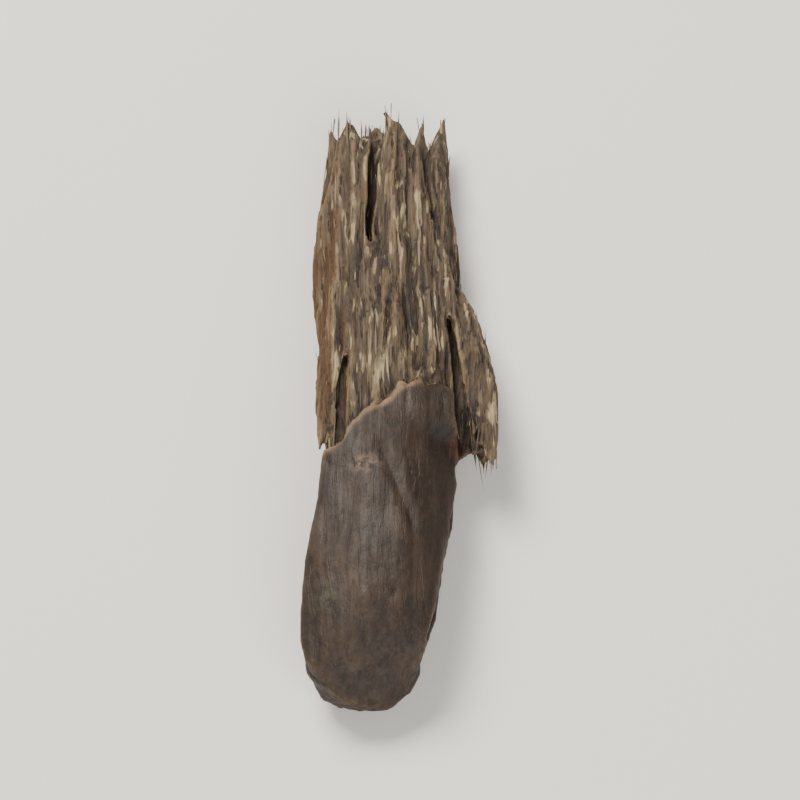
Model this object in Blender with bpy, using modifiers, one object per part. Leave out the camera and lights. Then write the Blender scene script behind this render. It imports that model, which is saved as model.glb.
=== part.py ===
"""One agarwood chip, split off a resin-rich log along the grain and lying on its flat side.

Metres, +Z up. X runs across the grain and Y along it, with the blunt toe at -Y and the torn end at +Y.
The origin is on the plane that the chip rests on, under the middle of its bounding box.
The lower half of the top is a smooth, dark, knife-cut skin. Above a ragged ledge that skin has been torn
away, and the bare fibre bundles run on up to the splintered end.
"""

import math
import random

import bmesh
import bpy
import numpy as np
from mathutils import Matrix, Vector, noise

MM = 0.001

# Driving dimensions
LENGTH = 35.5 * MM  # along the grain, before the splinters of the torn end
SKIN_STEP = 0.65 * MM  # how far the smooth skin stands above the torn fibres
FOOT_DEPTH = 0.35 * MM  # how much of the underside the resting flat takes off
FINENESS = 0.21 * MM  # size of the cells that fuse the body and its splinters
TRIANGLES = 9400

# The block that the body is shaped from, in squares across, along and through
SQUARES = (56, 150, 26)

# Outlines as (share of the length from the toe, distance in mm)
LEFT_EDGE = (
    (0.0, -4.8), (0.036, -5.3), (0.11, -5.95), (0.2, -5.65), (0.29, -5.1), (0.38, -4.65),
    (0.454, -4.5), (0.608, -4.8), (0.83, -4.7), (1.0, -4.3),
)
RIGHT_EDGE = (
    (0.0, 0.6), (0.036, 1.1), (0.11, 1.85), (0.2, 2.4), (0.29, 2.85), (0.38, 3.3), (0.44, 3.7),
    (0.465, 5.2), (0.505, 5.75), (0.608, 4.9), (0.726, 4.2), (0.835, 3.5), (1.0, 2.7),
)
TOP_LINE = ((0.0, 4.6), (0.1, 5.2), (0.25, 5.6), (0.45, 5.7), (0.6, 5.5), (0.8, 5.0), (0.92, 4.6), (1.0, 4.2))
BASE_LINE = ((0.0, 1.2), (0.1, 0.3), (0.2, 0.0), (0.5, -0.1), (0.8, 0.0), (0.9, 0.35), (1.0, 0.9))

SQUARENESS = 0.42  # 0 for a sharp-edged section and 1 for an oval one
CROWN = 0.5 * MM  # fall of the top from its crest to its edges
KEEL = 0.5 * MM  # rise of the underside from its middle to its edges
TOE_REACH = 0.09  # share of the length over which the toe rounds off
TOE_CENTRE = (-2.1, 2.6)  # across and up, in mm

# Flats that a knife or a split left: a point on the flat in mm, the way it faces, its shares of the length
FLATS = (
    ((-3.6, -9.0, 5.35), (-0.5, -0.04, 0.86), (-0.2, 0.46)),
    ((0.9, -8.0, 5.5), (0.46, 0.03, 0.88), (-0.2, 0.5)),
    ((-2.0, -14.4, 4.9), (0.08, -0.6, 0.8), (-0.2, 0.4)),
    ((0.9, -15.6, 3.0), (0.62, -0.76, 0.2), (-0.2, 0.3)),
    ((-5.0, -16.0, 3.0), (-0.62, -0.76, 0.1), (-0.2, 0.3)),
    ((-2.2, -17.4, 2.6), (-0.05, -0.98, -0.15), (-0.2, 0.2)),
    ((-3.9, 6.0, 5.1), (-0.78, 0.0, 0.62), (0.44, 1.2)),
    ((3.0, 7.0, 4.7), (0.8, 0.03, 0.6), (0.5, 1.2)),
    ((-4.9, 0.0, 1.6), (-0.78, 0.0, -0.62), (-0.2, 1.2)),
    ((3.0, 2.0, 1.0), (0.6, -0.08, -0.8), (-0.2, 1.2)),
)
ARRIS = 0.28 * MM  # softness of the edges that the flats leave

# Fibre bundles, coarse to fine: width, length and relief in mm, and a seed
BUNDLES = ((2.5, 30.0, 0.38, 3.7), (1.1, 14.0, 0.27, 11.3), (0.55, 8.0, 0.13, 23.9))
# The skin's ragged upper edge, as a share of the length
LEDGE = 0.585
LEDGE_SLANT = 0.022  # share by which the ledge drops for each mm away from its peak
LEDGE_PEAK = 2.4  # across, in mm
LEDGE_RAGS = (0.018, 0.018, 0.012)  # how far each size of bundle pulls the edge up or down the grain
LEDGE_FADE = (0.5, 3.5)  # across, in mm: from where to where the skin thins out to the right
# The broken end of each bundle: width and reach in mm, and a seed
TORN_TIPS = ((2.3, 3.4, 5.1), (1.1, 2.9, 17.9))
TIP_SHARPNESS = 1.8  # how steeply a tip falls off to the bundle's border
TORN_REACH = 0.35  # share of the length over which the tips stretch the torn end

# Splits along the grain: middle of the mouth in mm, run, width, depth, turn in degrees
SPLITS = (
    ((3.95, -3.5, 5.3), 10.5, 1.0, 3.6, 6.0),
    ((-3.6, -1.6, 5.8), 6.0, 0.75, 2.8, -2.0),
    ((-1.3, 20.5, 5.1), 9.0, 0.85, 3.4, 176.0),
    ((0.9, 20.0, 1.8), 8.0, 0.9, 3.0, 184.0),
    ((1.6, 20.0, 5.2), 6.5, 0.8, 3.4, 181.0),
)
SPLIT_BENDS = 8  # lengths that each split is bent in
SPLIT_WANDER = 0.45  # how far a split strays from its line, in mm

# Splinters that stand off the shoulder, the ledge and the back: root and tip in mm, width at the root
LONG_SPLINTERS = (
    ((3.4, 9.5, 3.4), (5.4, -3.0, 4.1), 2.3),
    ((3.6, 7.0, 2.2), (4.9, -2.2, 2.6), 2.1),
    ((-3.9, 8.5, 3.7), (-4.7, -2.4, 4.6), 1.4),
    ((-3.8, 2.0, 2.2), (-4.9, 14.0, 2.6), 1.7),
)
# The splinters of the torn end
END_SPLINTERS = 22
END_ROOTS = ((-3.9, 7.0, 1.4), (2.4, 10.0, 4.1))  # corners of the box that their roots lie in, in mm
END_TIPS = (16.0, 20.6)  # how far along the grain they reach, in mm
END_WIDTHS = (0.9, 2.0)
SEED = 11
SPLINTER_SIDES = 8
SPLINTER_FLATNESS = 0.6
SPLINTER_POINT = 0.8  # 0 for round ends and 1 for sharp ones

WOOD_COLOUR = (0.122, 0.085, 0.058, 1.0)
WOOD_ROUGHNESS = 0.68


def outline_at(stations, share):
    """The outline's distance at each share of the length, on a smooth curve through its stations."""
    shares, values = (np.array(column, float) for column in zip(*stations))
    slopes = np.gradient(values, shares)
    start = np.clip(np.searchsorted(shares, share) - 1, 0, len(shares) - 2)
    gap = shares[start + 1] - shares[start]
    s = (share - shares[start]) / gap
    from_start = values[start] * (1 + 2 * s) * (1 - s) ** 2 + slopes[start] * gap * s * (1 - s) ** 2
    from_end = values[start + 1] * (3 - 2 * s) * s**2 + slopes[start + 1] * gap * (s - 1) * s**2
    return (from_start + from_end) * MM


def smooth_step(low, high, value):
    s = np.clip((value - low) / (high - low), 0.0, 1.0)
    return s * s * (3 - 2 * s)


def gridded_block():
    """A cube from -1 to 1 whose faces are divided into squares."""
    block = bmesh.new()
    bmesh.ops.create_cube(block, size=2.0)
    for axis, squares in enumerate(SQUARES):
        running = [e for e in block.edges if abs(e.verts[0].co[axis] - e.verts[1].co[axis]) > 1.0]
        bmesh.ops.subdivide_edges(block, edges=running, cuts=squares - 1, use_grid_fill=True)
    return block


def smooth_form(cube):
    """Places each point of the cube on the chip's form before its fibres tore, in metres."""
    a, b, c = cube.T
    share = (b + 1) / 2
    across = a * np.sqrt(1 - SQUARENESS * c**2 / 2)
    through = c * np.sqrt(1 - SQUARENESS * a**2 / 2)
    left = outline_at(LEFT_EDGE, share)
    right = outline_at(RIGHT_EDGE, share)
    top = outline_at(TOP_LINE, share) - CROWN * across**2
    base = outline_at(BASE_LINE, share) + KEEL * across**2 - FOOT_DEPTH
    x = left + (right - left) * (across + 1) / 2
    z = base + (top - base) * (through + 1) / 2
    toe = np.clip(1 - share / TOE_REACH, 0.0, 1.0)
    toe_x, toe_z = np.array(TOE_CENTRE) * MM
    x = toe_x + (x - toe_x) * np.sqrt(1 - 0.75 * toe**2.5)
    z = toe_z + (z - toe_z) * np.sqrt(1 - 0.75 * toe**3)
    y = (share - 0.5) * LENGTH
    return np.column_stack((x, y, z)), share


def cut_flats(points, share):
    """Presses every point that stands proud of a flat back onto it, with a soft edge."""
    for spot, facing, (start, end) in FLATS:
        facing = np.array(Vector(facing).normalized())
        proud = (points - np.array(spot) * MM) @ facing
        kept = smooth_step(start, start + 0.05, share) * (1 - smooth_step(end - 0.05, end, share))
        cut = 0.5 * (proud + np.sqrt(proud**2 + ARRIS**2)) * kept
        points = points - facing * cut[:, None]
    return points


def fibre_bundles(points, width, length, seed):
    """For each point, its bundle's own random tone from -1 to 1 and its distance from the bundle's border."""
    tones = np.empty(len(points))
    borders = np.empty(len(points))
    for i, (x, y, z) in enumerate(points / MM):
        lean = 0.035 * x + 0.5 * noise.noise((seed, y / 9.0, 0.0))
        distances, cores = noise.voronoi(Vector(((x + lean) / width + seed, y / length, z / width)))
        tones[i] = noise.cell(cores[0] * 9.7)
        borders[i] = distances[1] - distances[0]
    return tones, borders


def skin_cover(points, share, facing_up, rags):
    """1 where the smooth skin remains and 0 where it is torn off, with an edge that follows the bundles."""
    x = points[:, 0] / MM
    edge = LEDGE - LEDGE_SLANT * np.abs(x - LEDGE_PEAK) - 0.05 * np.clip(x - 3.2, 0.0, 2.0) + rags
    up = smooth_step(0.1, 0.45, facing_up)
    return (1 - smooth_step(edge - 0.008, edge + 0.008, share)) * up


def torn_tips(points):
    """How far each point of the torn end reaches up the grain: a pointed spike for every bundle."""
    reach = np.zeros(len(points))
    for width, height, seed in TORN_TIPS:
        for i, (x, _, z) in enumerate(points / MM):
            distances, cores = noise.voronoi(Vector((x / width + seed, seed, z / width)))
            own = 0.6 + 0.4 * noise.cell(cores[0] * 9.7)
            reach[i] += height * own * min(1.0, TIP_SHARPNESS * (distances[1] - distances[0]))
    return reach * MM


def torn_form(smooth, normals, share):
    """Moves the smooth form's points out and in by the bundles' relief, and stretches the torn end."""
    points = smooth.copy()
    relief = np.zeros(len(points))
    rags = np.zeros(len(points))
    for (width, length, height, seed), pull in zip(BUNDLES, LEDGE_RAGS):
        tones, borders = fibre_bundles(smooth, width, length, seed)
        relief += height * MM * (tones - 0.9 * np.exp(-borders / 0.13))
        rags += pull * tones
    skin = skin_cover(smooth, share, normals[:, 2], rags)
    calm_end = 1 - smooth_step(0.84, 0.97, share)
    relief *= (1 - 0.85 * skin) * smooth_step(0.0, 0.12, share) * calm_end
    thinned = 1 - 0.6 * smooth_step(*LEDGE_FADE, smooth[:, 0] / MM)
    relief += SKIN_STEP * skin * thinned * smooth_step(0.0, 0.3, share)
    wander = np.array([noise.fractal(p / (4.0 * MM), 1.0, 2.0, 3) for p in map(Vector, smooth)])
    points += normals * (relief + 0.16 * MM * wander)[:, None]
    points[:, 1] += smooth_step(1 - TORN_REACH, 1.0, share) * torn_tips(smooth)
    return points


def add_body(shape):
    """The chip's body, from a gridded block."""
    block = gridded_block()
    cube = np.array([v.co for v in block.verts])
    smooth, share = smooth_form(cube)
    smooth = cut_flats(smooth, share)
    for vert, place in zip(block.verts, smooth):
        vert.co = place
    bmesh.ops.recalc_face_normals(block, faces=block.faces)
    block.normal_update()
    normals = np.array([v.normal for v in block.verts])
    for vert, place in zip(block.verts, torn_form(smooth, normals, share)):
        vert.co = place
    mesh = bpy.data.meshes.new("body")
    block.to_mesh(mesh)
    block.free()
    shape.from_mesh(mesh)
    bpy.data.meshes.remove(mesh)


def add_splinter(shape, root, tip, width):
    """A slim spindle with drawn-out points, flatter than wide, from its root in the body to its free tip."""
    root, tip = Vector(root) * MM, Vector(tip) * MM
    lying = (tip - root).to_track_quat("Z", "Y").to_matrix().to_4x4()
    size = Matrix.Diagonal((width / 2 * MM, width / 2 * SPLINTER_FLATNESS * MM, (tip - root).length / 2, 1.0))
    placing = Matrix.Translation((root + tip) / 2) @ lying @ size
    ball = bmesh.ops.create_uvsphere(shape, u_segments=SPLINTER_SIDES, v_segments=12, radius=1.0)
    for vert in ball["verts"]:
        x, y, z = vert.co
        slimming = max(0.0, 1 - z * z) ** (SPLINTER_POINT / 2)
        vert.co = placing @ Vector((x * slimming, y * slimming, z))


def end_splinters():
    """The roots, tips and widths of the torn end's splinters, scattered over its section."""
    chance = random.Random(SEED)
    for _ in range(END_SPLINTERS):
        root = [chance.uniform(low, high) for low, high in zip(*END_ROOTS)]
        tip = (root[0] + chance.uniform(-0.6, 0.6), chance.uniform(*END_TIPS), root[2] + chance.uniform(-0.4, 0.5))
        yield root, tip, chance.uniform(*END_WIDTHS)


def split_wedge(mouth, run, width, depth, turn):
    """A wavy wedge that opens a split: widest at its mouth and closing along the grain."""
    wedge = bmesh.new()
    bmesh.ops.create_cube(wedge, size=1.0)
    running = [e for e in wedge.edges if abs(e.verts[0].co.y - e.verts[1].co.y) > 0.5]
    bmesh.ops.subdivide_edges(wedge, edges=running, cuts=SPLIT_BENDS - 1, use_grid_fill=True)
    for vert in wedge.verts:
        x, y, z = vert.co
        inward = y + 0.5
        closing = 1.0 - 0.65 * inward
        stray = SPLIT_WANDER * noise.noise((mouth[0], inward * run / 2.4, turn)) * inward
        vert.co = (x * width * closing + stray, inward * run, z * depth)
    turned = Matrix.Translation(Vector(mouth)) @ Matrix.Rotation(math.radians(turn), 4, "Z")
    wedge.transform(Matrix.Scale(MM, 4) @ turned)
    return wedge


def ground_block():
    """The block that takes the underside off flat at the plane that the chip rests on."""
    block = bmesh.new()
    size = (20 * MM, 60 * MM, 5 * MM)
    bmesh.ops.create_cube(block, size=1.0, matrix=Matrix.Translation((0, 0, -size[2] / 2)) @ Matrix.Diagonal((*size, 1.0)))
    return block


def helper(name, shape, collection):
    """A shape that isn't a piece of its own: raw material or a cutter."""
    mesh = bpy.data.meshes.new(name)
    shape.to_mesh(mesh)
    shape.free()
    obj = bpy.data.objects.new(name, mesh)
    obj.hide_render = True
    obj.display_type = "WIRE"
    collection.objects.link(obj)
    return obj


def keep_largest(mesh):
    """Drops the loose crumbs that the splits cut free."""
    whole = bmesh.new()
    whole.from_mesh(mesh)
    unseen = set(whole.verts)
    bodies = []
    while unseen:
        start = unseen.pop()
        body = {start}
        front = [start]
        while front:
            vert = front.pop()
            near = {e.other_vert(vert) for e in vert.link_edges} - body
            body |= near
            front.extend(near)
        unseen -= body
        bodies.append(body)
    bodies.sort(key=len)
    for crumb in bodies[:-1]:
        bmesh.ops.delete(whole, geom=list(crumb), context="VERTS")
    whole.to_mesh(mesh)
    whole.free()


def evaluated_mesh(obj):
    bpy.context.view_layer.update()
    return bpy.data.meshes.new_from_object(obj.evaluated_get(bpy.context.evaluated_depsgraph_get()))


def fuse(obj):
    skin = obj.modifiers.new("fuse", "REMESH")
    skin.mode = "VOXEL"
    skin.voxel_size = FINENESS


def subtract(obj, cutter):
    cut = obj.modifiers.new(cutter.name, "BOOLEAN")
    cut.operation = "DIFFERENCE"
    cut.solver = "EXACT"
    cut.object = cutter


def wood():
    material = bpy.data.materials.new("agarwood")
    material.use_nodes = True
    shader = material.node_tree.nodes["Principled BSDF"]
    shader.inputs["Base Color"].default_value = WOOD_COLOUR
    shader.inputs["Roughness"].default_value = WOOD_ROUGHNESS
    shader.inputs["Metallic"].default_value = 0.0
    return material


def main():
    for obj in list(bpy.data.objects):
        bpy.data.objects.remove(obj)
    chip = bpy.data.collections.new("agarwood chip")
    helpers = bpy.data.collections.new("raw form and cutters")
    bpy.context.scene.collection.children.link(chip)
    bpy.context.scene.collection.children.link(helpers)

    shape = bmesh.new()
    add_body(shape)
    for root, tip, width in [*LONG_SPLINTERS, *end_splinters()]:
        add_splinter(shape, root, tip, width)
    raw = helper("raw_form", shape, helpers)
    fuse(raw)
    for number, values in enumerate(SPLITS):
        subtract(raw, helper(f"split_{number}", split_wedge(*values), helpers))
    fuse(raw)

    body = bpy.data.objects.new("agarwood_chip", evaluated_mesh(raw))
    chip.objects.link(body)
    keep_largest(body.data)
    body.data.calc_loop_triangles()
    facets = body.modifiers.new("facets", "DECIMATE")
    facets.ratio = TRIANGLES / len(body.data.loop_triangles)
    subtract(body, helper("ground", ground_block(), helpers))
    finished = evaluated_mesh(body)
    body.modifiers.clear()
    body.data = finished
    places = np.array([v.co for v in finished.vertices])
    middle = (places.min(axis=0) + places.max(axis=0)) / 2
    finished.transform(Matrix.Translation((-middle[0], -middle[1], 0.0)))
    finished.name = "agarwood_chip"
    finished.materials.clear()
    finished.materials.append(wood())
    finished.shade_smooth()
    finished.set_sharp_from_angle(angle=math.radians(30))


if __name__ == "__main__":
    main()
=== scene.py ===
import math
import random
import time

import bmesh
import bpy
import numpy as np
from mathutils import Matrix, Vector, noise
from mathutils.bvhtree import BVHTree


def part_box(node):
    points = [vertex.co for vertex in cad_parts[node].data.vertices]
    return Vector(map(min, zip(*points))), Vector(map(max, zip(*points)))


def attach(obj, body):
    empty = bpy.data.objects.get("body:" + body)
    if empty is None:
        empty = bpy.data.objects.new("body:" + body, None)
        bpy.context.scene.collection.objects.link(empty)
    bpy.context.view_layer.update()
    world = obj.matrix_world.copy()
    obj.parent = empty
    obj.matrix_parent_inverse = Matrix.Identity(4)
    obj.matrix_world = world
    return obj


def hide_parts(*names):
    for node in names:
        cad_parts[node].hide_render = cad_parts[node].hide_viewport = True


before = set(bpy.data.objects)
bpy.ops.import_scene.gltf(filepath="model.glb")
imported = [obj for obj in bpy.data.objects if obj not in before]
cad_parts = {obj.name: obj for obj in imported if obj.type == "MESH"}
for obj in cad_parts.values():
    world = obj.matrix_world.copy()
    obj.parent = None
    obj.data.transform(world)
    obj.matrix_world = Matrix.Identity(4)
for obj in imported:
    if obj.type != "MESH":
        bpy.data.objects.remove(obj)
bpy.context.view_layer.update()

startTime = time.time()
mm = 0.001


def elapsed():
    return round(time.time() - startTime, 1)


# The chip's form, in mm and in shares of its length from the toe
chipForm = {
    "length": 35.5,
    "leftEdge": (
        (0.0, -4.8), (0.036, -5.3), (0.11, -5.95), (0.2, -5.65), (0.29, -5.1), (0.38, -4.65),
        (0.454, -4.5), (0.608, -4.8), (0.83, -4.7), (1.0, -4.3),
    ),
    "rightEdge": (
        (0.0, 0.6), (0.036, 1.1), (0.11, 1.85), (0.2, 2.4), (0.29, 2.85), (0.38, 3.3), (0.44, 3.7),
        (0.465, 5.2), (0.505, 5.75), (0.608, 4.9), (0.726, 4.2), (0.835, 3.5), (1.0, 2.7),
    ),
    "topLine": (
        (0.0, 4.6), (0.1, 5.2), (0.25, 5.6), (0.45, 5.7), (0.6, 5.5), (0.8, 5.0), (0.92, 4.6), (1.0, 4.2),
    ),
    "baseLine": ((0.0, 1.2), (0.1, 0.3), (0.2, 0.0), (0.5, -0.1), (0.8, 0.0), (0.9, 0.35), (1.0, 0.9)),
    "squareness": 0.42,
    "crown": 0.5,
    "keel": 0.5,
    "footDepth": 0.35,
    "toeReach": 0.09,
    "toeCentre": (-2.1, 2.6),
    "toeRounding": 0.75,
    "arris": 0.28,  # how softly the body turns into its flats
    "flatFade": 0.05,  # share of the length over which a flat sets in or ends
    "skinStep": 0.65,
    "wander": (4.0, 0.16),  # size and height of the slow unevenness
    "grid": (84, 225, 40),  # squares across, along and through
    "cell": 0.135,  # size of the cells that fuse the body and its splinters
}

# Flats that a knife or a split left: a point, the way it faces, and the shares of the length that it covers
flats = (
    ((-3.6, -9.0, 5.35), (-0.5, -0.04, 0.86), (-0.2, 0.46)),
    ((0.9, -8.0, 5.5), (0.46, 0.03, 0.88), (-0.2, 0.5)),
    ((-2.0, -14.4, 4.9), (0.08, -0.6, 0.8), (-0.2, 0.4)),
    ((0.9, -15.6, 3.0), (0.62, -0.76, 0.2), (-0.2, 0.3)),
    ((-5.0, -16.0, 3.0), (-0.62, -0.76, 0.1), (-0.2, 0.3)),
    ((-2.2, -17.4, 2.6), (-0.05, -0.98, -0.15), (-0.2, 0.2)),
    ((-3.9, 6.0, 5.1), (-0.78, 0.0, 0.62), (0.44, 1.2)),
    ((3.0, 7.0, 4.7), (0.8, 0.03, 0.6), (0.5, 1.2)),
    ((-4.9, 0.0, 1.6), (-0.78, 0.0, -0.62), (-0.2, 1.2)),
    ((3.0, 2.0, 1.0), (0.6, -0.08, -0.8), (-0.2, 1.2)),
)

# Fibre bundles from coarse to fine; rag is how far one pulls the ledge, tone how much it is seen, and the
# last value how strongly painted shade darkens its border grooves
bundles = (
    {"width": 2.5, "length": 30.0, "relief": 0.38, "seed": 3.7, "rag": 0.018, "tone": 0.25, "grooveShade": 1.0},
    {"width": 1.1, "length": 14.0, "relief": 0.27, "seed": 11.3, "rag": 0.018, "tone": 0.35, "grooveShade": 0.8},
    {"width": 0.55, "length": 8.0, "relief": 0.13, "seed": 23.9, "rag": 0.007, "tone": 0.4, "grooveShade": 0.5},
)
grain = {
    "lean": 0.035,  # how far the grain spreads to the side, for each mm from the middle
    "sway": (9.0, 0.5),  # length and width of its slow swings
    "grooveWidth": 0.13,
    "grooveDepth": 0.9,
}

# The ragged upper edge of the smooth skin, which drops away from its peak and again past the shoulder
ledge = {
    "share": 0.585,
    "slant": 0.022,
    "peak": 2.4,
    "shoulder": (3.2, 5.2, 0.05),  # from and to across, and the drop for each mm
    "softness": 0.008,
    "fineRag": (0.26, 5.0, 41.3, 0.003),  # width, length, seed and pull of the finest rags
    "fade": (0.5, 3.5),  # across: from where to where the skin thins out to the right
    "faded": 0.6,
}

# The broken end of each bundle
tornEnd = {"tips": ((2.3, 3.4, 5.1), (1.1, 2.9, 17.9)), "reach": 0.35, "sharpness": 1.8}

# Splits along the grain: middle of the mouth, run, width, depth, turn in degrees
splits = (
    ((3.95, -3.5, 5.3), 10.5, 1.0, 3.6, 6.0),
    ((-3.6, -1.6, 5.8), 6.0, 0.75, 2.8, -2.0),
    ((-1.3, 20.5, 5.1), 9.0, 0.85, 3.4, 176.0),
    ((0.9, 20.0, 1.8), 8.0, 0.9, 3.0, 184.0),
    ((1.6, 20.0, 5.2), 6.5, 0.8, 3.4, 181.0),
)
splitShape = {"wander": 0.45, "sway": 2.4, "narrowing": 0.65}

# Splinters fused to the body: root, tip, width at the middle
longSplinters = (
    ((3.4, 9.5, 3.4), (5.4, -3.0, 4.1), 2.3),
    ((3.6, 7.0, 2.2), (4.9, -2.2, 2.6), 2.1),
    ((-3.9, 8.5, 3.7), (-4.7, -2.4, 4.6), 1.4),
    ((-3.8, 2.0, 2.2), (-4.9, 14.0, 2.6), 1.7),
)
endSplinters = {
    "count": 22,
    "lowRoot": (-3.9, 7.0, 1.4),
    "highRoot": (2.4, 10.0, 4.1),
    "tips": (16.0, 20.6),
    "widths": (0.9, 2.0),
    "seed": 11,
    "sides": 8,
    "flatness": 0.6,
    "point": 0.8,  # 0 for round ends and 1 for sharp ones
    "grooveShade": 0.15,
    "tones": (-0.5, 0.7),
    "toneSeed": 4,
}

# What the eye sees from close by, raised on the finished mesh
fineRelief = {
    "strand": (0.3, 9.0, 0.055, 31.7),  # width, length, height and seed
    "strandGroove": 0.12,
    "thread": (0.15, 9.0, 0.026),  # width, length and height
    "pit": (0.9, 2.2, 0.2, 0.1),  # the skin's small pits: spacing, stretch along the grain, radius, depth
    "crease": ((-1.1, 15.2), (0.6, 10.6)),  # from and to, as x and distance from the toe
    "creaseSize": (0.35, 0.15),  # width and depth
    "calmed": (  # a knob and a fin in the ledge that are smoothed: middle, radius, rounds
        ((1.85, 2.2, 5.4), 1.1, 60),
        ((3.95, 0.3, 5.2), 0.95, 60),
    ),
    "tornTips": (0.94, 1.02, 5),  # from and to as shares of the length, and rounds of smoothing
    "farTips": (18.8, 19.8, 20),  # from and to along the chip, and rounds
}


def outlineAt(stations, share):
    shares, values = (np.array(column, float) for column in zip(*stations))
    slopes = np.gradient(values, shares)
    start = np.clip(np.searchsorted(shares, share) - 1, 0, len(shares) - 2)
    gap = shares[start + 1] - shares[start]
    s = (share - shares[start]) / gap
    fromStart = values[start] * (1 + 2 * s) * (1 - s) ** 2 + slopes[start] * gap * s * (1 - s) ** 2
    fromEnd = values[start + 1] * (3 - 2 * s) * s**2 + slopes[start + 1] * gap * (s - 1) * s**2
    return fromStart + fromEnd


def smoothStep(low, high, value):
    s = np.clip((value - low) / (high - low), 0.0, 1.0)
    return s * s * (3 - 2 * s)


# All of the chip's form is worked out in mm, and scaled to metres at the end
def smoothForm(cube):
    form = chipForm
    a, b, c = cube.T
    share = (b + 1) / 2
    across = a * np.sqrt(1 - form["squareness"] * c**2 / 2)
    through = c * np.sqrt(1 - form["squareness"] * a**2 / 2)
    left = outlineAt(form["leftEdge"], share)
    right = outlineAt(form["rightEdge"], share)
    top = outlineAt(form["topLine"], share) - form["crown"] * across**2
    base = outlineAt(form["baseLine"], share) + form["keel"] * across**2 - form["footDepth"]
    x = left + (right - left) * (across + 1) / 2
    z = base + (top - base) * (through + 1) / 2
    toe = np.clip(1 - share / form["toeReach"], 0.0, 1.0)
    toeX, toeZ = form["toeCentre"]
    x = toeX + (x - toeX) * np.sqrt(1 - form["toeRounding"] * toe**2.5)
    z = toeZ + (z - toeZ) * np.sqrt(1 - form["toeRounding"] * toe**3)
    points = np.column_stack((x, (share - 0.5) * form["length"], z))
    fade = form["flatFade"]
    for spot, facing, (start, end) in flats:
        facing = np.array(Vector(facing).normalized())
        proud = (points - np.array(spot)) @ facing
        kept = smoothStep(start, start + fade, share) * (1 - smoothStep(end - fade, end, share))
        cut = 0.5 * (proud + np.sqrt(proud**2 + form["arris"] ** 2)) * kept
        points = points - facing * cut[:, None]
    return points, share


# Each point's bundle, as the bundle's own tone and the distance to its border
def bundleAt(points, width, length, seed):
    swayLength, swayWidth = grain["sway"]
    tones = np.empty(len(points))
    borders = np.empty(len(points))
    for i, (x, y, z) in enumerate(points):
        lean = grain["lean"] * x + swayWidth * noise.noise((seed, y / swayLength, 0.0))
        distances, cores = noise.voronoi(Vector(((x + lean) / width + seed, y / length, z / width)))
        tones[i] = noise.cell(cores[0] * 9.7)
        borders[i] = distances[1] - distances[0]
    return tones, borders


def tornTips(points):
    reach = np.zeros(len(points))
    for width, height, seed in tornEnd["tips"]:
        for i, (x, _, z) in enumerate(points):
            distances, cores = noise.voronoi(Vector((x / width + seed, seed, z / width)))
            own = 0.6 + 0.4 * noise.cell(cores[0] * 9.7)
            reach[i] += height * own * min(1.0, tornEnd["sharpness"] * (distances[1] - distances[0]))
    return reach


# Where the skin ends along the chip, as a share of its length
def ledgeAt(smooth, rags):
    x = smooth[:, 0]
    width, length, seed, pull = ledge["fineRag"]
    fineTones, _ = bundleAt(smooth, width, length, seed)
    start, end, drop = ledge["shoulder"]
    lowered = ledge["slant"] * np.abs(x - ledge["peak"]) + drop * np.clip(x - start, 0.0, end - start)
    return ledge["share"] - lowered + rags + pull * fineTones


def bodyShape():
    block = bmesh.new()
    bmesh.ops.create_cube(block, size=2.0)
    for axis, squares in enumerate(chipForm["grid"]):
        running = [e for e in block.edges if abs(e.verts[0].co[axis] - e.verts[1].co[axis]) > 1.0]
        bmesh.ops.subdivide_edges(block, edges=running, cuts=squares - 1, use_grid_fill=True)
    smooth, share = smoothForm(np.array([v.co for v in block.verts]))
    for vert, place in zip(block.verts, smooth):
        vert.co = place
    bmesh.ops.recalc_face_normals(block, faces=block.faces)
    block.normal_update()
    normals = np.array([v.normal for v in block.verts])

    relief = np.zeros(len(smooth))
    rags = np.zeros(len(smooth))
    tone = np.zeros(len(smooth))
    grooveShade = np.zeros(len(smooth))
    for bundle in bundles:
        tones, borders = bundleAt(smooth, bundle["width"], bundle["length"], bundle["seed"])
        edge = np.exp(-borders / grain["grooveWidth"])
        relief += bundle["relief"] * (tones - grain["grooveDepth"] * edge)
        rags += bundle["rag"] * tones
        tone += bundle["tone"] * tones
        # How strongly painted shade darkens the border grooves
        grooveShade = np.maximum(grooveShade, bundle["grooveShade"] * edge)
    edge = ledgeAt(smooth, rags)
    below = 1 - smoothStep(edge - ledge["softness"], edge + ledge["softness"], share)
    skin = below * smoothStep(0.1, 0.45, normals[:, 2])
    # The bundles are worn flat on the skin, at the toe and at the torn tips
    relief *= (1 - 0.85 * skin) * smoothStep(0.0, 0.12, share) * (1 - smoothStep(0.84, 0.97, share))
    thinned = 1 - ledge["faded"] * smoothStep(*ledge["fade"], smooth[:, 0])
    relief += chipForm["skinStep"] * skin * thinned * smoothStep(0.0, 0.3, share)
    wanderSize, wanderHeight = chipForm["wander"]
    wander = np.array([noise.fractal(p / wanderSize, 1.0, 2.0, 3) for p in map(Vector, smooth)])
    points = smooth + normals * (relief + wanderHeight * wander)[:, None]
    points[:, 1] += smoothStep(1 - tornEnd["reach"], 1.0, share) * tornTips(smooth)
    for vert, place in zip(block.verts, points):
        vert.co = place
    covered = below * smoothStep(-0.55, -0.1, normals[:, 2])
    return block, {"skin": covered, "tone": tone, "grooveShade": grooveShade, "share": share}


def splinterAxes():
    ends = endSplinters
    chance = random.Random(ends["seed"])
    yield from longSplinters
    for _ in range(ends["count"]):
        root = [chance.uniform(low, high) for low, high in zip(ends["lowRoot"], ends["highRoot"])]
        aside = chance.uniform(-0.6, 0.6)
        tip = (root[0] + aside, chance.uniform(*ends["tips"]), root[2] + chance.uniform(-0.4, 0.5))
        yield root, tip, chance.uniform(*ends["widths"])


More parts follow.
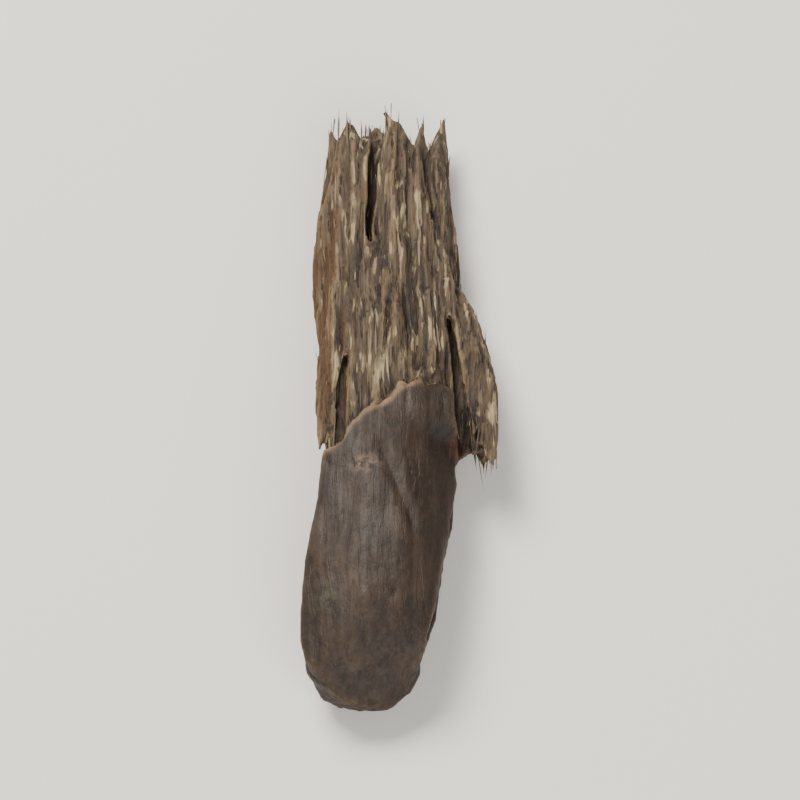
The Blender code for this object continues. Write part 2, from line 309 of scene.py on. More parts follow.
def addSplinters(block, values):
    ends = endSplinters
    chance = random.Random(ends["toneSeed"])
    for root, tip, width in splinterAxes():
        root, tip = Vector(root), Vector(tip)
        lying = (tip - root).to_track_quat("Z", "Y").to_matrix().to_4x4()
        size = Matrix.Diagonal((width / 2, width / 2 * ends["flatness"], (tip - root).length / 2, 1.0))
        placing = Matrix.Translation((root + tip) / 2) @ lying @ size
        made = bmesh.ops.create_uvsphere(block, u_segments=ends["sides"], v_segments=16, radius=1.0)["verts"]
        for vert in made:
            x, y, z = vert.co
            slimming = max(0.0, 1 - z * z) ** (ends["point"] / 2)
            vert.co = placing @ Vector((x * slimming, y * slimming, z))
        own = {"skin": 0.0, "tone": chance.uniform(*ends["tones"]), "grooveShade": ends["grooveShade"]}
        for name in values:
            share = [v.co.y / chipForm["length"] + 0.5 for v in made]
            values[name] = np.append(values[name], share if name == "share" else [own[name]] * len(made))


# A wedge that narrows from the split's mouth inward and wanders a little with the grain
def splitWedge(mouth, run, width, depth, turn):
    wedge = bmesh.new()
    bmesh.ops.create_cube(wedge, size=1.0)
    running = [e for e in wedge.edges if abs(e.verts[0].co.y - e.verts[1].co.y) > 0.5]
    bmesh.ops.subdivide_edges(wedge, edges=running, cuts=7, use_grid_fill=True)
    for vert in wedge.verts:
        x, y, z = vert.co
        inward = y + 0.5
        sway = noise.noise((mouth[0], inward * run / splitShape["sway"], turn))
        stray = splitShape["wander"] * sway * inward
        vert.co = (x * width * (1.0 - splitShape["narrowing"] * inward) + stray, inward * run, z * depth)
    wedge.transform(Matrix.Translation(Vector(mouth)) @ Matrix.Rotation(math.radians(turn), 4, "Z"))
    return wedge


def helperObject(name, shape):
    mesh = bpy.data.meshes.new(name)
    shape.to_mesh(mesh)
    shape.free()
    helper = bpy.data.objects.new(name, mesh)
    bpy.context.scene.collection.objects.link(helper)
    return helper


def evaluatedMesh(owner):
    bpy.context.view_layer.update()
    return bpy.data.meshes.new_from_object(owner.evaluated_get(bpy.context.evaluated_depsgraph_get()))


def fuse(owner):
    skin = owner.modifiers.new("fuse", "REMESH")
    skin.mode = "VOXEL"
    skin.voxel_size = chipForm["cell"]


# Drops the crumbs that the splits have cut loose
def keepLargest(mesh):
    whole = bmesh.new()
    whole.from_mesh(mesh)
    unseen = set(whole.verts)
    bodies = []
    while unseen:
        start = unseen.pop()
        body = {start}
        front = [start]
        while front:
            vert = front.pop()
            near = {e.other_vert(vert) for e in vert.link_edges} - body
            body |= near
            front.extend(near)
        unseen -= body
        bodies.append(body)
    bodies.sort(key=len)
    for crumb in bodies[:-1]:
        bmesh.ops.delete(whole, geom=list(crumb), context="VERTS")
    whole.to_mesh(mesh)
    whole.free()


def meshArrays(mesh):
    points = np.empty(len(mesh.vertices) * 3)
    mesh.vertices.foreach_get("co", points)
    normals = np.empty(len(mesh.vertices) * 3, np.float32)
    mesh.vertex_normals.foreach_get("vector", normals)
    edges = np.empty(len(mesh.edges) * 2, int)
    mesh.edges.foreach_get("vertices", edges)
    return points.reshape(-1, 3), normals.reshape(-1, 3).astype(float), edges.reshape(-1, 2)


# Each point takes on half of its neighbours' mean, round by round
def spread(values, edges, rounds):
    count = np.bincount(edges.ravel(), minlength=len(values)).astype(float)
    for _ in range(rounds):
        total = np.zeros_like(values)
        np.add.at(total, edges[:, 0], values[edges[:, 1]])
        np.add.at(total, edges[:, 1], values[edges[:, 0]])
        values = 0.5 * values + 0.5 * total / count.reshape((-1,) + (1,) * (values.ndim - 1))
    return values


# The body and its splinters, fused in one skin and split along the grain
def fusedChip(block):
    raw = helperObject("rawForm", block)
    fuse(raw)
    wedges = [helperObject(f"split{n}", splitWedge(*split)) for n, split in enumerate(splits)]
    for wedge in wedges:
        cut = raw.modifiers.new(wedge.name, "BOOLEAN")
        cut.operation = "DIFFERENCE"
        cut.solver = "EXACT"
        cut.object = wedge
    fuse(raw)
    mesh = evaluatedMesh(raw)
    for helper in (raw, *wedges):
        bpy.data.objects.remove(helper)
    keepLargest(mesh)
    print("chip fused", len(mesh.vertices), "points", elapsed(), "s")
    return mesh


# Each point takes its bundle's values from the nearest place on the raw form
def nearestValues(points, tree, corners, rawValues):
    values = {name: np.empty(len(points)) for name in rawValues}
    for i, place in enumerate(points):
        face = tree.find_nearest(Vector(place))[2]
        for name, own in rawValues.items():
            values[name][i] = own[corners[face]].mean()
    return values


def pitsAt(points):
    spacing, stretch, radius, _ = fineRelief["pit"]
    pits = np.empty(len(points))
    for i, (x, y, z) in enumerate(points):
        distances, cores = noise.voronoi(Vector((x, y / stretch, z)) / spacing)
        pits[i] = math.exp(-((distances[0] / radius) ** 2)) * (noise.cell(cores[0] * 5.3) > 0.35)
    return pits


def creaseAt(points, normals, skin):
    (fromX, fromY), (toX, toY) = fineRelief["crease"]
    fromToe = points[:, 1] + chipForm["length"] / 2
    along = np.clip((fromY - fromToe) / (fromY - toY), 0.0, 1.0)
    offLine = points[:, 0] - (fromX + (toX - fromX) * along)
    within = smoothStep(toY - 1.5, toY + 0.5, fromToe) * (1 - smoothStep(fromY - 0.5, fromY + 1.5, fromToe))
    return np.exp(-((offLine / fineRelief["creaseSize"][0]) ** 2)) * within * skin * (normals[:, 2] > 0.5)


def smoothed(points, edges, where, rounds):
    where = where[:, None]
    return points * (1 - where) + spread(points, edges, rounds) * where


# Raises the strands, threads, pits and crease, and smooths the knobs off the torn tips and the ledge
def raiseFibres(points, normals, edges, values):
    fine = fineRelief
    skin = values["skin"]
    width, length, height, seed = fine["strand"]
    strandTone, strandBorder = bundleAt(points, width, length, seed)
    strandEdge = np.exp(-strandBorder / fine["strandGroove"])
    threadWidth, threadLength, threadHeight = fine["thread"]
    places = points / (threadWidth, threadLength, threadWidth)
    thread = np.array([noise.noise(Vector(place)) for place in places])
    pits = pitsAt(points)
    bare = 1 - 0.8 * skin
    relief = bare * (height * (strandTone - 0.8 * strandEdge) + threadHeight * thread)
    relief -= fine["pit"][3] * pits * (0.35 + 0.65 * skin)
    tipFrom, tipTo, tipRounds = fine["tornTips"]
    atTips = smoothStep(tipFrom, tipTo, values["share"])
    relief *= 1 - 0.8 * atTips
    relief -= fine["creaseSize"][1] * creaseAt(points, normals, skin)
    points = points + normals * relief[:, None]
    for spot, radius, rounds in fine["calmed"]:
        away = (((points - np.array(spot)) / radius) ** 2).sum(axis=1)
        points = smoothed(points, edges, np.exp(-(away**2)), rounds)
    points = smoothed(points, edges, atTips, tipRounds)
    farFrom, farTo, farRounds = fine["farTips"]
    points = smoothed(points, edges, smoothStep(farFrom, farTo, points[:, 1]), farRounds)
    seen = {
        "tone": values["tone"] + 0.3 * strandTone,
        # Painted shade also in the strands' grooves
        "grooveShade": np.maximum(values["grooveShade"], 0.7 * strandEdge * bare),
        "pits": pits,
    }
    return points, seen


# Placed as the solid is, resting on its flat, and kept within its box
def placedInBox(points):
    low, high = (np.array(corner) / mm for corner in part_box("agarwood_chip"))
    shift = (low + high) / 2 - (points.min(axis=0) + points.max(axis=0)) / 2
    shift[2] = 0.0
    return np.clip(points + shift, low, high)


# How far, in mm, a place stands off its surroundings before it counts as a worn edge, which also gets a
# painted highlight, or as a hollow, which gets painted shade
wearScales = (
    {"rounds": 6, "from": 0.004, "to": 0.05, "share": 0.5},
    {"rounds": 40, "from": 0.02, "to": 0.22, "share": 0.7},
)


def wearHighlightAndHollowShade(points, normals, edges):
    wearAndHighlight = np.zeros(len(points))
    shadeInHollows = np.zeros(len(points))
    for scale in wearScales:
        proud = np.einsum("ij,ij->i", points - spread(points, edges, scale["rounds"]), normals)
        wearAndHighlight += scale["share"] * smoothStep(scale["from"], scale["to"], proud)
        shadeInHollows += scale["share"] * smoothStep(scale["from"], scale["to"], -proud)
    return wearAndHighlight, shadeInHollows


# The orange strip of fresh wood down the left edge
def freshStrip(x, z, share, normals, ragged, skin):
    strip = smoothStep(0.2, 0.55, -normals[:, 0] + 0.3 * ragged) * smoothStep(0.43, 0.5, share) * (1 - skin)
    strip *= 1 - smoothStep(-3.6, -2.4, x)
    flank = 1 - smoothStep(-4.4, -3.8, x + 0.3 * ragged)
    flank *= smoothStep(0.42, 0.46, share) * (1 - smoothStep(0.5, 0.62, share))
    strip = np.maximum(strip, 0.8 * flank * (1 - skin))
    return strip * smoothStep(1.6, 2.8, z) * (1 - smoothStep(0.86, 1.0, share))


# Where fibres fray, by how much of each place is frayed, and the tan lip where the skin breaks off, which
# also carries a painted highlight where it faces the key light on the left
fraying = {"ledge": 0.5, "end": 0.5, "torn": 0.15, "shoulder": 0.5}


def frayAndLipHighlight(x, z, share, normals, edges, skin):
    ledgeLine = smoothStep(0.02, 0.12, spread(np.abs(skin - spread(skin, edges, 12)), edges, 4))
    atLedge = ledgeLine * (1 - smoothStep(0.05, 0.4, skin)) * (z > 3.0)
    torn = (1 - skin) * smoothStep(0.4, 0.5, share)
    shoulder = (1 - skin) * smoothStep(3.4, 4.2, x) * (1 - smoothStep(0.5, 0.56, share)) * (share > 0.35)
    fray = fraying["ledge"] * atLedge + fraying["end"] * smoothStep(0.9, 1.04, share)
    fray += fraying["torn"] * torn + fraying["shoulder"] * shoulder
    leftward = 1 - smoothStep(-0.5, 2.0, x)
    # The lip is tan broken skin with a painted highlight, kept only where it faces the key light and on the
    # left
    tanLipAndHighlight = ledgeLine * smoothStep(0.2, 0.6, skin) * smoothStep(-0.2, 0.4, normals[:, 1]) * leftward * (z > 2.5)
    tanLipAndHighlight = np.maximum(tanLipAndHighlight, 0.7 * smoothStep(0.03, 0.4, spread(tanLipAndHighlight, edges, 12)))
    return fray * (z > 0.6), tanLipAndHighlight


def makeChip():
    block, rawValues = bodyShape()
    addSplinters(block, rawValues)
    tree = BVHTree.FromBMesh(block)
    block.faces.ensure_lookup_table()
    corners = [[v.index for v in f.verts] for f in block.faces]
    mesh = fusedChip(block)
    points, normals, edges = meshArrays(mesh)
    values = nearestValues(points, tree, corners, rawValues)
    points, seen = raiseFibres(points, normals, edges, values)
    mesh.vertices.foreach_set("co", (placedInBox(points) * mm).ravel())
    mesh.update()

    placed, normals, _ = meshArrays(mesh)
    placed /= mm
    x, y, z = placed.T
    skin = values["skin"]
    share = y / chipForm["length"] + 0.5
    ragged = np.array([noise.noise((px * 0.8, py * 0.35, pz * 0.8)) for px, py, pz in placed])
    # Proud edges get wear with a painted highlight, hollows get painted shade
    wearAndHighlight, hollowShade = wearHighlightAndHollowShade(placed, normals, edges)
    fray, tanLipAndHighlight = frayAndLipHighlight(x, z, share, normals, edges, skin)
    seen |= {
        "skin": skin,
        "softSkin": spread(skin, edges, 40),
        "wearAndHighlight": wearAndHighlight,
        "hollowShade": hollowShade,
        "strip": freshStrip(x, z, share, normals, ragged, skin),
        "share": share,
        "fray": fray,
        "tanLipAndHighlight": tanLipAndHighlight,
        "combing": np.where((share < 0.54) & (x > 3.2), -1.0, 1.0),  # the shoulder's fibres point at the toe
    }
    for name, own in seen.items():
        numbers = np.clip(own, -1.0, 1.5).astype(np.float32)
        mesh.attributes.new(name, "FLOAT", "POINT").data.foreach_set("value", numbers)
    mesh.shade_smooth()
    mesh.calc_loop_triangles()
    chip = bpy.data.objects.new("chip", mesh)
    bpy.context.scene.collection.objects.link(chip)
    print("chip", len(mesh.loop_triangles), "triangles", elapsed(), "s")
    return chip


chip = makeChip()


# Node helpers for the materials
def newMaterial(name):
    material = bpy.data.materials.new(name)
    material.use_nodes = True
    return material, material.node_tree, material.node_tree.nodes["Principled BSDF"]


def node(tree, kind, inputs=(), **settings):
    made = tree.nodes.new(kind)
    for key, value in settings.items():
        setattr(made, key, value)
    for key, value in dict(inputs).items():
        if isinstance(value, bpy.types.NodeSocket):
            tree.links.new(value, made.inputs[key])
        else:
            made.inputs[key].default_value = value
    return made


def attribute(tree, name):
    return node(tree, "ShaderNodeAttribute", attribute_name=name).outputs["Fac"]


def maths(tree, operation, a, b=0.0, clamp=False):
    return node(tree, "ShaderNodeMath", {0: a, 1: b}, operation=operation, use_clamp=clamp).outputs[0]


def ramp(tree, value, low, high, bottom=0.0, top=1.0):
    settings = {"Value": value, "From Min": low, "From Max": high, "To Min": bottom, "To Max": top}
    return node(tree, "ShaderNodeMapRange", settings, interpolation_type="SMOOTHSTEP").outputs["Result"]


def mixed(tree, share, first, second):
    return node(tree, "ShaderNodeMix", {0: share, 6: first, 7: second}, data_type="RGBA").outputs[2]


def vectorMaths(tree, operation, a, b):
    key = "Scale" if operation == "SCALE" else 1
    return node(tree, "ShaderNodeVectorMath", {0: a, key: b}, operation=operation).outputs[0]


def stretched(tree, place, across, along):
    return vectorMaths(tree, "MULTIPLY", place, (across, along, across))


def noiseAt(tree, place, scale, detail, roughness=0.6):
    settings = {"Vector": place, "Scale": scale, "Detail": detail, "Roughness": roughness}
    return node(tree, "ShaderNodeTexNoise", settings).outputs


def grainNoise(tree, place, across, along, scale, detail, roughness=0.6):
    return noiseAt(tree, stretched(tree, place, across, along), scale, detail, roughness)["Fac"]


# Linear colours
woodLook = {
    "tornDark": (0.020, 0.013, 0.009, 1.0),
    "tornMid": (0.078, 0.054, 0.032, 1.0),
    "tornPale": (0.175, 0.130, 0.078, 1.0),
    "dash": (0.360, 0.285, 0.165, 1.0),
    # Dark resin colour, also used for painted shade in grooves and hollows
    "resin": (0.010, 0.006, 0.005, 1.0),
    "skinDark": (0.0118, 0.0073, 0.0048, 1.0),
    "skinMid": (0.0285, 0.0168, 0.0099, 1.0),
    "skinPale": (0.065, 0.0388, 0.0215, 1.0),
    "pink": (0.165, 0.100, 0.075, 1.0),
    "mossy": (0.045, 0.046, 0.030, 1.0),
    # Painted shadow colour for the notch on the right
    "notchShadeBlue": (0.020, 0.017, 0.024, 1.0),
    "reddish": (0.040, 0.012, 0.007, 1.0),
    "fresh": (0.070, 0.034, 0.012, 1.0),
    # Pale tan of broken and chafed wood, also used for painted highlight on the lip and proud edges
    "edge": (0.260, 0.175, 0.090, 1.0),
}

# Small stains, and a painted shadow in the notch on the right: colour, middle and half sizes in mm, softness,
# and how much of it shows
stainsAndShade = {
    "fleck": ("pink", (-2.2, -5.6, 6.0), (0.9, 0.5, 3.0), 0.6, 0.7),
    "moss": ("mossy", (-4.2, -13.6, 4.0), (0.8, 0.9, 3.0), 0.6, 0.6),
    # Painted shadow: a bluish dark patch where the notch on the right lies in shade
    "notchShade": ("notchShadeBlue", (3.9, -1.6, 3.6), (1.0, 1.6, 2.0), 0.5, 0.3),
    "redSpot": ("reddish", (3.5, -3.6, 4.0), (0.6, 0.8, 2.5), 0.5, 0.7),
}


# Mixes in a soft spot: a real stain, or the notch's painted shadow
def stainedAndShaded(tree, place, colour, name, broken=1.0):
    spotColour, centre, size, fade, shown = stainsAndShade[name]
    away = vectorMaths(tree, "DIVIDE", vectorMaths(tree, "SUBTRACT", place, centre), size)
    length = node(tree, "ShaderNodeVectorMath", {0: away}, operation="LENGTH").outputs["Value"]
    mask = maths(tree, "MULTIPLY", ramp(tree, length, 1.0 - fade, 1.0 + fade, 1.0, 0.0), broken)
    return mixed(tree, maths(tree, "MULTIPLY", mask, shown), colour, woodLook[spotColour])


# Object coordinates in mm, bent a little so that no streak is quite straight
def driftingPlace(tree):
    still = vectorMaths(tree, "SCALE", node(tree, "ShaderNodeTexCoord").outputs["Object"], 1000.0)
    clouds = noiseAt(tree, still, 0.12, 1.0)["Color"]
    aside = vectorMaths(tree, "SUBTRACT", clouds, (0.5, 0.5, 0.5))
    drift = vectorMaths(tree, "MULTIPLY", aside, (1.2, 0.0, 1.2))
    return still, vectorMaths(tree, "ADD", still, drift)


# Bare fibres: brown streaks, short pale and dark dashes along the grain, and the fresh strip
def tornColour(tree, tone, patterns):
    look = woodLook
    streaks, clouds = patterns["streaks"], patterns["clouds"]
    paleDash = maths(tree, "MULTIPLY", patterns["paleDash"], ramp(tree, clouds, 0.44, 0.56, 1.0, 0.2))
    colour = mixed(tree, ramp(tree, streaks, 0.36, 0.62), look["tornDark"], look["tornMid"])
    threads = maths(tree, "MULTIPLY", patterns["threads"], 0.9)
    lift = maths(tree, "ADD", maths(tree, "MULTIPLY", tone, 0.45), threads)
    paler = maths(tree, "MULTIPLY", ramp(tree, lift, 0.42, 0.95), 0.75)
    colour = mixed(tree, paler, colour, look["tornPale"])
    colour = mixed(tree, maths(tree, "MULTIPLY", paleDash, 0.8), colour, look["dash"])
    colour = mixed(tree, maths(tree, "MULTIPLY", patterns["darkDash"], 0.75), colour, look["resin"])
    colour = mixed(tree, ramp(tree, clouds, 0.54, 0.72, 0.0, 0.6), colour, look["tornDark"])
    strip = maths(tree, "MULTIPLY", attribute(tree, "strip"), ramp(tree, streaks, 0.3, 0.5, 0.35, 0.9))
    return mixed(tree, strip, colour, look["fresh"])


# The smooth skin: mottled and cloudy grey-brown, with painted shade that darkens it to the right, and resin
# in its pits
def skinColour(tree, place, sideways, patterns):
    look = woodLook
    mottle = patterns["mottle"]
    colour = mixed(tree, ramp(tree, mottle, 0.36, 0.64), look["skinDark"], look["skinMid"])
    colour = mixed(tree, ramp(tree, patterns["clouds"], 0.45, 0.68, 0.0, 0.4), colour, look["skinPale"])
    colour = mixed(tree, ramp(tree, patterns["streaks"], 0.52, 0.66, 0.0, 0.35), colour, look["resin"])
    colour = stainedAndShaded(tree, place, colour, "fleck", ramp(tree, mottle, 0.4, 0.6))
    colour = stainedAndShaded(tree, place, colour, "moss", ramp(tree, mottle, 0.35, 0.6))
    # Painted shade: the skin darkens towards the right, away from the key light
    colour = mixed(tree, ramp(tree, sideways, -0.6, 2.2, 0.0, 0.5), colour, look["skinDark"])
    pits = maths(tree, "MULTIPLY", attribute(tree, "pits"), 0.6, True)
    return mixed(tree, pits, colour, look["resin"])


# The skin ends sharply on the left and thins out in streaks on the right
def skinCover(tree, skin, sideways, streaks):
    streaky = maths(tree, "SUBTRACT", streaks, 0.5)
    streaky = maths(tree, "MULTIPLY", ramp(tree, sideways, 0.0, 2.5, 0.0, 1.5), streaky)
    thinned = maths(tree, "ADD", attribute(tree, "softSkin"), streaky)
    change = maths(tree, "SUBTRACT", thinned, skin)
    change = maths(tree, "MULTIPLY", change, ramp(tree, sideways, -0.5, 1.5))
    return ramp(tree, maths(tree, "ADD", skin, change), 0.35, 0.65)


# Pale where the skin's lip breaks off and where edges stand proud: partly tan broken and chafed wood, partly
# painted highlight. Painted shade in the dark resin colour darkens the grooves and hollows.
def wearLightAndShade(tree, colour, skin, mottle):
    look = woodLook
    # Painted highlight and tan broken wood along the skin's lip
    colour = mixed(tree, maths(tree, "MULTIPLY", attribute(tree, "tanLipAndHighlight"), 0.8, True), colour, look["edge"])
    brokenUp = maths(tree, "MULTIPLY", ramp(tree, mottle, 0.4, 0.62), maths(tree, "MULTIPLY", skin, -0.3))
    # Proud edges paled: partly chafed wood, partly painted highlight
    chafedAndHighlit = maths(tree, "MULTIPLY", attribute(tree, "wearAndHighlight"), maths(tree, "ADD", brokenUp, 0.4), True)
    colour = mixed(tree, chafedAndHighlit, colour, look["edge"])
    # Painted shade in the grooves between fibre bundles
    colour = mixed(tree, maths(tree, "MULTIPLY", attribute(tree, "grooveShade"), 0.5, True), colour, look["resin"])
    # Painted shade in the hollows
    return mixed(tree, maths(tree, "MULTIPLY", attribute(tree, "hollowShade"), 0.8, True), colour, look["resin"])


def woodMaterial():
    material, tree, shader = newMaterial("resinousWood")
    still, place = driftingPlace(tree)
    aside = vectorMaths(tree, "ADD", place, (31.0, 17.0, 53.0))
    skin = attribute(tree, "skin")
    sideways = node(tree, "ShaderNodeSeparateXYZ", {0: still}).outputs["X"]
    patterns = {
        "streaks": grainNoise(tree, place, 1.0, 0.07, 2.4, 6.0, 0.68),
        "threads": grainNoise(tree, place, 1.0, 0.05, 9.0, 3.0),
        "clouds": grainNoise(tree, place, 1.0, 0.5, 0.55, 5.0),
        "mottle": grainNoise(tree, place, 1.0, 0.8, 2.6, 6.0, 0.7),
        "paleDash": ramp(tree, grainNoise(tree, place, 3.2, 0.42, 1.0, 1.5, 0.5), 0.55, 0.62),
        "darkDash": ramp(tree, grainNoise(tree, aside, 3.0, 0.4, 1.0, 2.0, 0.5), 0.56, 0.63),
    }
    streaks, threads, mottle = (patterns[name] for name in ("streaks", "threads", "mottle"))
    torn = tornColour(tree, attribute(tree, "tone"), patterns)
    smooth = skinColour(tree, place, sideways, patterns)
    colour = mixed(tree, skinCover(tree, skin, sideways, streaks), torn, smooth)
    # Painted shadow in the notch on the right
    colour = stainedAndShaded(tree, place, colour, "notchShade")
    colour = stainedAndShaded(tree, place, colour, "redSpot")
    tree.links.new(wearLightAndShade(tree, colour, skin, mottle), shader.inputs["Base Color"])

    sheen = maths(tree, "MULTIPLY", skin, -0.14)
    rough = maths(tree, "ADD", ramp(tree, streaks, 0.35, 0.65, 0.6, 0.78), sheen)
    tree.links.new(rough, shader.inputs["Roughness"])
    shader.inputs["Specular IOR Level"].default_value = 0.25

    height = maths(tree, "ADD", maths(tree, "MULTIPLY", streaks, 0.5), maths(tree, "MULTIPLY", threads, 0.5))
    height = maths(tree, "SUBTRACT", height, maths(tree, "MULTIPLY", patterns["darkDash"], 0.35))
    height = maths(tree, "MULTIPLY", height, ramp(tree, skin, 0.3, 0.8, 1.0, 0.25))
    height = maths(tree, "ADD", height, maths(tree, "MULTIPLY", mottle, 0.25))
    bump = node(tree, "ShaderNodeBump", {"Height": height, "Strength": 0.9, "Distance": 0.00022})
    tree.links.new(bump.outputs[0], shader.inputs["Normal"])
    return material


def fibreMaterial():
    material, tree, shader = newMaterial("frayedFibre")
    tone = attribute(tree, "fibreTone")
    colour = mixed(tree, ramp(tree, tone, 0.0, 0.6), woodLook["tornDark"], woodLook["tornMid"])
    colour = mixed(tree, ramp(tree, tone, 0.55, 1.0), colour, woodLook["tornPale"])
    tree.links.new(colour, shader.inputs["Base Color"])
    shader.inputs["Roughness"].default_value = 0.7
    return material


chip.data.materials.clear()
chip.data.materials.append(woodMaterial())
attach(chip, "root")
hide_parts("agarwood_chip")
print("wood material", elapsed(), "s")


# Frayed fibres and thin slivers on the torn wood, grown along the grain where the fray value says so.
# Density is for each square metre, length and width are in mm, and lift and spread are shares of the length.
fibreKinds = {
    "frayedFibres": {
        "density": 1.6e6, "length": 0.9, "width": 0.045, "flatness": 0.8,
        "lift": 0.1, "spread": 0.12, "bend": 2.0, "seed": 3,
    },
    "tornSlivers": {
        "density": 1.2e6, "length": 1.8, "width": 0.15, "flatness": 0.4,
        "lift": 0.012, "spread": 0.03, "bend": 0.3, "seed": 8,
    },
}


def fibreInputs(tree):
    face = tree.interface
    face.new_socket("Geometry", in_out="INPUT", socket_type="NodeSocketGeometry")
    for name in ("Density", "Length", "Width", "Flatness", "Lift", "Spread", "Bend"):
        face.new_socket(name, in_out="INPUT", socket_type="NodeSocketFloat")
    face.new_socket("Seed", in_out="INPUT", socket_type="NodeSocketInt")
    for name in ("Low Corner", "High Corner"):
        face.new_socket(name, in_out="INPUT", socket_type="NodeSocketVector")
    face.new_socket("Geometry", in_out="OUTPUT", socket_type="NodeSocketGeometry")
    return tree.nodes.new("NodeGroupInput").outputs


# One fibre, a metre long and a metre thick, bent and drawn to a point
def oneFibre(tree, bend):
    bent = {"Resolution": 5, "Start": (0, -0.3, 0), "Middle": (0, 0.1, 0.5)}
    line = node(tree, "GeometryNodeCurveQuadraticBezier", bent)
    end = node(tree, "ShaderNodeCombineXYZ", {0: 0.0, 1: bend, 2: 1.0}).outputs[0]
    tree.links.new(end, line.inputs["End"])
    along = node(tree, "GeometryNodeSplineParameter").outputs["Factor"]
    root = ramp(tree, along, 0.0, 0.3, 0.3, 1.0)
    taper = maths(tree, "MULTIPLY", root, ramp(tree, along, 0.4, 1.0, 1.0, 0.12))
    ring = node(tree, "GeometryNodeCurvePrimitiveCircle", {"Resolution": 5, "Radius": 0.5}).outputs["Curve"]
    drawn = {"Curve": line.outputs[0], "Profile Curve": ring, "Scale": taper, "Fill Caps": True}
    return node(tree, "GeometryNodeCurveToMesh", drawn).outputs[0]


def fibreTree(material):
    tree = bpy.data.node_groups.new("growFibres", "GeometryNodeTree")
    given = fibreInputs(tree)

    def named(name):
        read = node(tree, "GeometryNodeInputNamedAttribute", {"Name": name}, data_type="FLOAT")
        return read.outputs["Attribute"]

    def chance(low, high, offset):
        seed = maths(tree, "ADD", given["Seed"], offset)
        made = node(tree, "FunctionNodeRandomValue", {2: low, 3: high, "Seed": seed}, data_type="FLOAT")
        return made.outputs[1]

    def vector(x, y, z):
        return node(tree, "ShaderNodeCombineXYZ", {0: x, 1: y, 2: z}).outputs[0]

    fibre = oneFibre(tree, given["Bend"])
    density = maths(tree, "MULTIPLY", named("fray"), given["Density"])
    strewn = {"Mesh": given["Geometry"], "Density": density, "Seed": given["Seed"]}
    roots = node(tree, "GeometryNodeDistributePointsOnFaces", strewn).outputs
    outward = roots["Normal"]

    # Each fibre follows the grain, rises a little from the wood, and strays to the side
    jitter = vector(chance(-1.0, 1.0, 1), chance(-0.4, 0.4, 2), chance(-1.0, 1.0, 3))
    turned = maths(tree, "MULTIPLY", named("combing"), chance(0.8, 1.2, 4))
    stray = vectorMaths(tree, "SCALE", jitter, given["Spread"])
    along = vectorMaths(tree, "ADD", vector(0.0, turned, 0.0), stray)
    leaving = node(tree, "ShaderNodeVectorMath", {0: along, 1: outward}, operation="DOT_PRODUCT")
    rise = maths(tree, "MULTIPLY", given["Lift"], chance(0.2, 1.8, 5))
    rise = maths(tree, "SUBTRACT", rise, leaving.outputs["Value"])
    rise = maths(tree, "MAXIMUM", rise, -0.15)  # so that fibres on a blunt tip still point along the grain
    blunt = ramp(tree, named("share"), 0.92, 1.0, 1.0, 0.0)
    risen = vectorMaths(tree, "SCALE", outward, maths(tree, "MULTIPLY", rise, blunt))
    aim = {"Primary Axis": vectorMaths(tree, "ADD", along, risen), "Secondary Axis": outward}
    rotation = node(tree, "FunctionNodeAxesToRotation", aim, primary_axis="Z", secondary_axis="Y").outputs[0]

    thick = maths(tree, "MULTIPLY", given["Width"], chance(0.5, 1.3, 7))
    flat = maths(tree, "MULTIPLY", thick, given["Flatness"])
    size = vector(thick, flat, maths(tree, "MULTIPLY", given["Length"], chance(0.3, 1.4, 8)))
    placed = {"Points": roots["Points"], "Instance": fibre, "Rotation": rotation, "Scale": size}
    grown = node(tree, "GeometryNodeInstanceOnPoints", placed).outputs[0]
    tones = {"Geometry": grown, "Name": "fibreTone", "Value": chance(0.0, 1.0, 9)}
    toned = node(tree, "GeometryNodeStoreNamedAttribute", tones, data_type="FLOAT", domain="INSTANCE")
    whole = node(tree, "GeometryNodeRealizeInstances", {"Geometry": toned.outputs[0]}).outputs[0]
    # No fibre leaves the chip's box
    where = node(tree, "GeometryNodeInputPosition").outputs[0]
    where = vectorMaths(tree, "MINIMUM", where, given["High Corner"])
    where = vectorMaths(tree, "MAXIMUM", where, given["Low Corner"])
    whole = node(tree, "GeometryNodeSetPosition", {"Geometry": whole, "Position": where}).outputs[0]
    finished = node(tree, "GeometryNodeSetMaterial", {"Geometry": whole, "Material": material})
    out = tree.nodes.new("NodeGroupOutput")
    tree.links.new(finished.outputs[0], out.inputs[0])
    return tree


def growFibres(name, kind, tree):
    boxLow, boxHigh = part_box("agarwood_chip")
    wanted = {key.capitalize(): value for key, value in kind.items()}
    wanted |= {"Length": kind["length"] * mm, "Width": kind["width"] * mm}
    wanted |= {"Low Corner": tuple(boxLow), "High Corner": tuple(boxHigh)}
    grower = bpy.data.objects.new(name, chip.data)
    bpy.context.scene.collection.objects.link(grower)
    modifier = grower.modifiers.new("grow", "NODES")
    modifier.node_group = tree
    for item in tree.interface.items_tree:
        if item.in_out == "INPUT" and item.name in wanted:
            modifier[item.identifier] = wanted[item.name]
    grown = evaluatedMesh(grower)
    grower.modifiers.clear()
    grower.data = grown
    grown.name = name
    grown.shade_smooth()
    grown.calc_loop_triangles()
    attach(grower, "root")
    print(name, len(grown.loop_triangles), "triangles", elapsed(), "s")


fibres = fibreTree(fibreMaterial())
for name, kind in fibreKinds.items():
    growFibres(name, kind, fibres)


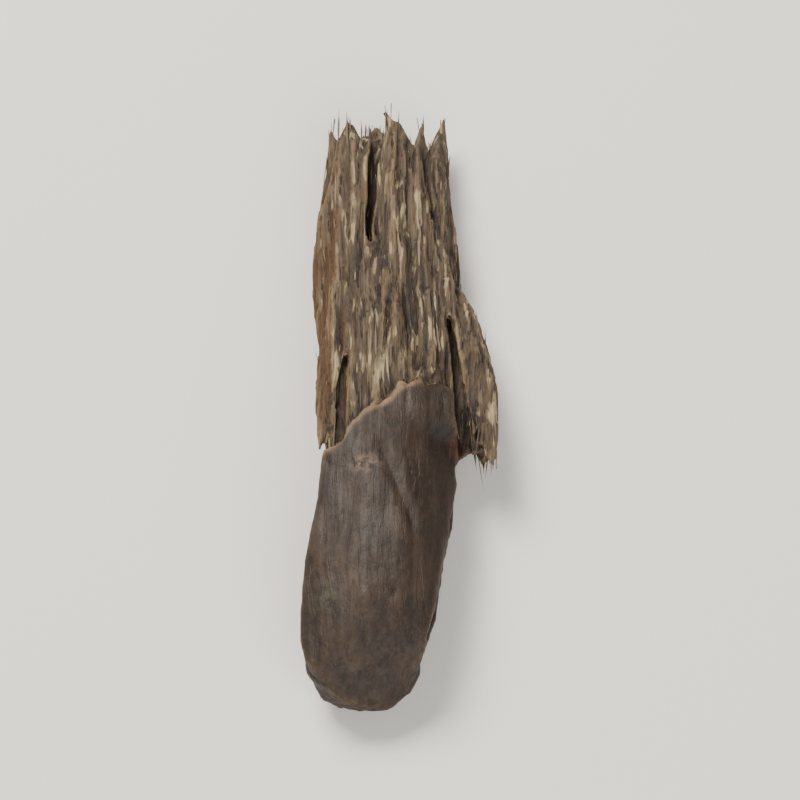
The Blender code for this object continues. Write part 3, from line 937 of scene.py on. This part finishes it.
# A plain pale floor, soft light from the torn end's side, and a camera that looks down on the chip
studio = {
    "floor": (0.62, 0.60, 0.57, 1.0),
    "world": (1.0, 0.985, 0.96, 1.0),
    "worldStrength": 0.35,
    "elevation": 63.0,
    "distance": 0.42,
    "fill": 0.80,  # share of the picture's height that the chip fills
    "lights": {  # place, size, watts and colour
        "keyLight": ((-0.12, 0.17, 0.28), 0.16, 2.8, (1.0, 0.95, 0.88)),
        "fillLight": ((0.1, -0.26, 0.22), 0.3, 1.7, (1.0, 0.98, 0.95)),
    },
    "lightsAim": (0, 0, 0.003),
}


def addLight(name, spot, size, watts, colour):
    lamp = bpy.data.lights.new(name, "AREA")
    lamp.size = size
    lamp.energy = watts
    lamp.color = colour
    light = bpy.data.objects.new(name, lamp)
    light.location = spot
    light.rotation_mode = "QUATERNION"
    light.rotation_quaternion = (Vector(spot) - Vector(studio["lightsAim"])).to_track_quat("Z", "Y")
    bpy.context.scene.collection.objects.link(light)


def makeFloor():
    bpy.ops.mesh.primitive_plane_add(size=3.0, location=(0, 0, 0))
    floor = bpy.context.object
    floor.name = "floor"
    material, _, shader = newMaterial("paleFloor")
    shader.inputs["Base Color"].default_value = studio["floor"]
    shader.inputs["Roughness"].default_value = 0.9
    floor.data.materials.append(material)


def makeRoom():
    world = bpy.data.worlds.new("softRoom")
    world.use_nodes = True
    background = world.node_tree.nodes["Background"]
    background.inputs[0].default_value = studio["world"]
    background.inputs[1].default_value = studio["worldStrength"]
    bpy.context.scene.world = world


def makeCamera():
    camera = bpy.data.objects.new("camera", bpy.data.cameras.new("camera"))
    bpy.context.scene.collection.objects.link(camera)
    angle = math.radians(studio["elevation"])
    back = Vector((0, -math.cos(angle), math.sin(angle)))
    low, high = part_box("agarwood_chip")
    camera.location = (low + high) / 2 + back * studio["distance"]
    camera.rotation_mode = "QUATERNION"
    camera.rotation_quaternion = back.to_track_quat("Z", "Y")
    seen = (high.y - low.y) * math.sin(angle) + (high.z - low.z) * math.cos(angle)
    camera.data.sensor_fit = "HORIZONTAL"
    camera.data.sensor_width = 36.0
    camera.data.lens = camera.data.sensor_width * studio["distance"] * studio["fill"] / seen
    camera.data.clip_start = 0.01
    bpy.context.scene.camera = camera


makeFloor()
makeRoom()
for name, values in studio["lights"].items():
    addLight(name, *values)
makeCamera()
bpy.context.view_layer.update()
print("done", elapsed(), "s")
